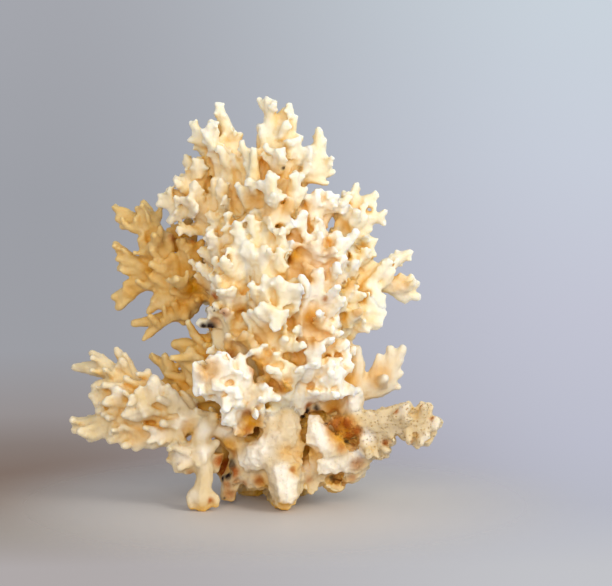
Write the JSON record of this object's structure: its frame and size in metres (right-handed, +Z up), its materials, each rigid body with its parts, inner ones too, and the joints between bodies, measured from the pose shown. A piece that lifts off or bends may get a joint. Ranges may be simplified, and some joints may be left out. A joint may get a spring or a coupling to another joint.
{
  "type": "branching coral",
  "caption": "Dried branching coral colony cut flat at its base: upright limbs and side arms that fork into many short blunt fingers, standing on pitted feet.",
  "frame": {"origin": "in the middle of the flat cut the colony stands on", "axes": "+Z up along the colony, +X to the right as the picture shows it, +Y away from the viewer"},
  "size_m": [0.1339, 0.079, 0.1468],
  "materials": {
    "chalky_base": "matt chalky limestone skeleton with a faint pink cast, crusted and pitted",
    "chalky_stilt": "matt chalky limestone skeleton, pitted",
    "ivory_coral": "dry matt limestone skeleton, ivory, darker honey colour in the forks",
    "honey_coral": "dry matt limestone skeleton, honey coloured where it is crowded",
    "pale_coral": "dry matt limestone skeleton, bleached nearly white at the tips"
  },
  "bodies": {
    "root": {"holdfast": "chalky_base", "left_stilt": "chalky_stilt", "low_left_arm": "ivory_coral", "low_left_fan": "honey_coral", "front_left_cluster": "pale_coral", "upper_left_arm": "honey_coral", "left_shoulder": "ivory_coral", "left_crown": "ivory_coral", "centre_left_limb": "ivory_coral", "centre_limb": "ivory_coral", "centre_crown": "ivory_coral", "centre_right_limb": "pale_coral", "right_crown": "ivory_coral", "right_limb": "ivory_coral", "upper_right_fan": "ivory_coral", "right_arm": "ivory_coral", "right_knuckles": "ivory_coral", "right_blade": "pale_coral", "low_right_arm": "ivory_coral", "back_low_left_limb": "ivory_coral", "back_low_right_limb": "ivory_coral", "back_left_limb": "ivory_coral", "back_right_limb": "ivory_coral", "back_centre_limb": "ivory_coral", "back_crown_left": "ivory_coral", "back_crown_right": "ivory_coral"}
  },
  "joints": []
}
